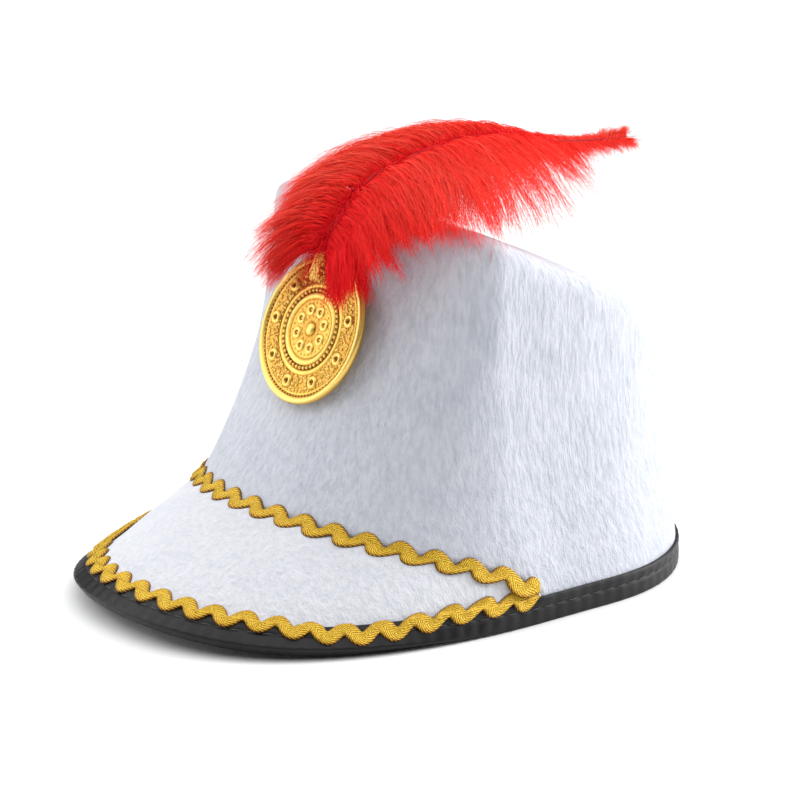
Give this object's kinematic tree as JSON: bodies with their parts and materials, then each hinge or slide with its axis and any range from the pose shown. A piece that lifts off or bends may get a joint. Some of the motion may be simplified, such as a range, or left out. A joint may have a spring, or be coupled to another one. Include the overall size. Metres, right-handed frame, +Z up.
{
  "type": "costume guard hat",
  "caption": "White felt costume hat with a back-leaning crown, wide peak, black edge binding, wavy gold trims, round cast medallion and an arching red feather.",
  "frame": {"origin": "under the middle of the hat's length and width, at the height of the surface it rests on", "axes": "-Y is the front of the hat, +X the wearer's left, +Z up"},
  "size_m": [0.1744, 0.2301, 0.1577],
  "materials": {
    "white_felt": "soft white felt with a faint upright nap",
    "peak_felt": "smooth white felt",
    "black_binding": "satin black folded tape with one line of stitching",
    "gold_trim": "woven gold ribbon",
    "medallion_gold": "satin gold cast metal",
    "feather_red": "soft bright red feather barbs"
  },
  "bodies": {
    "root": {"crown": "white_felt", "peak": "peak_felt", "edge_binding": "black_binding", "crown_trim": "gold_trim", "peak_trim": "gold_trim", "medallion": "medallion_gold", "feather": "feather_red"}
  },
  "joints": []
}
